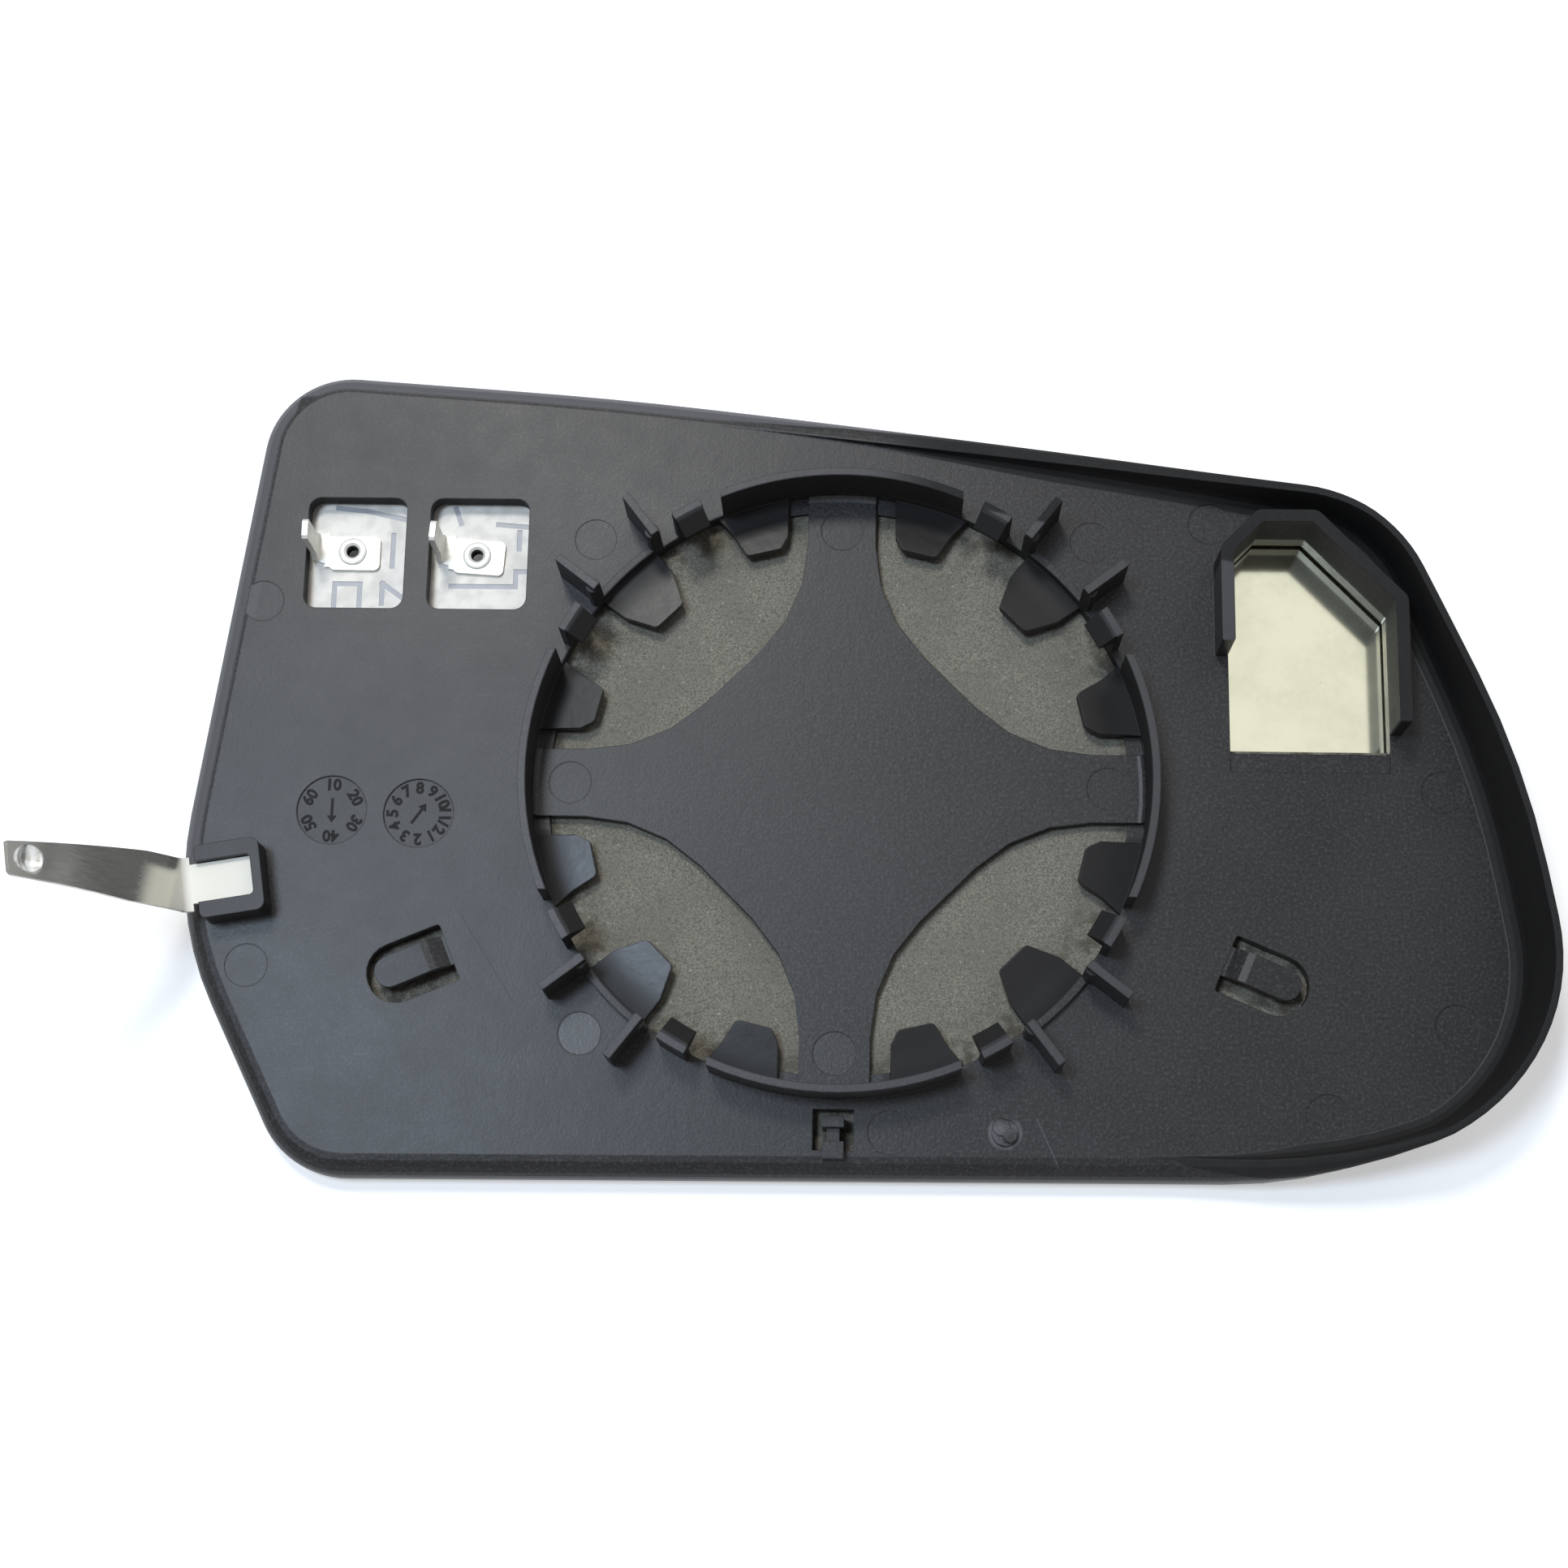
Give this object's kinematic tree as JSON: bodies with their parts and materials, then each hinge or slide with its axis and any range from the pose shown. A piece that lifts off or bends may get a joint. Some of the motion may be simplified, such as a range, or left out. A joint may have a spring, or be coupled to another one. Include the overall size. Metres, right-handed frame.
{
  "type": "car door mirror glass",
  "caption": "Heated mirror glass on a moulded backing plate with a snap-in actuator collar, heater terminals, a lamp frame and a retaining spring.",
  "frame": {"origin": "on the axis of the actuator collar, at the level of the backing plate's back face", "axes": "+Z out of the back of the unit along the collar's axis, +X along the long side towards the skirted end, +Y towards the longer of the two long edges, glass facing -Z"},
  "size_m": [0.193, 0.1113, 0.037],
  "materials": {
    "black_abs": "satin",
    "foam_pad": "matte",
    "foil": "satin",
    "polyester_film": "gloss",
    "mirror": "polished",
    "tinned_metal": "satin",
    "spring_steel": "satin"
  },
  "bodies": {
    "root": {"backing_plate": "black_abs", "adhesive_pad": "foam_pad", "heater_track": "foil", "heater_film": "polyester_film", "mirror_glass": "mirror", "heater_terminal_left": "tinned_metal", "heater_terminal_right": "tinned_metal", "terminal_rivet_left": "tinned_metal", "terminal_rivet_right": "tinned_metal", "retaining_spring": "spring_steel"}
  },
  "joints": []
}
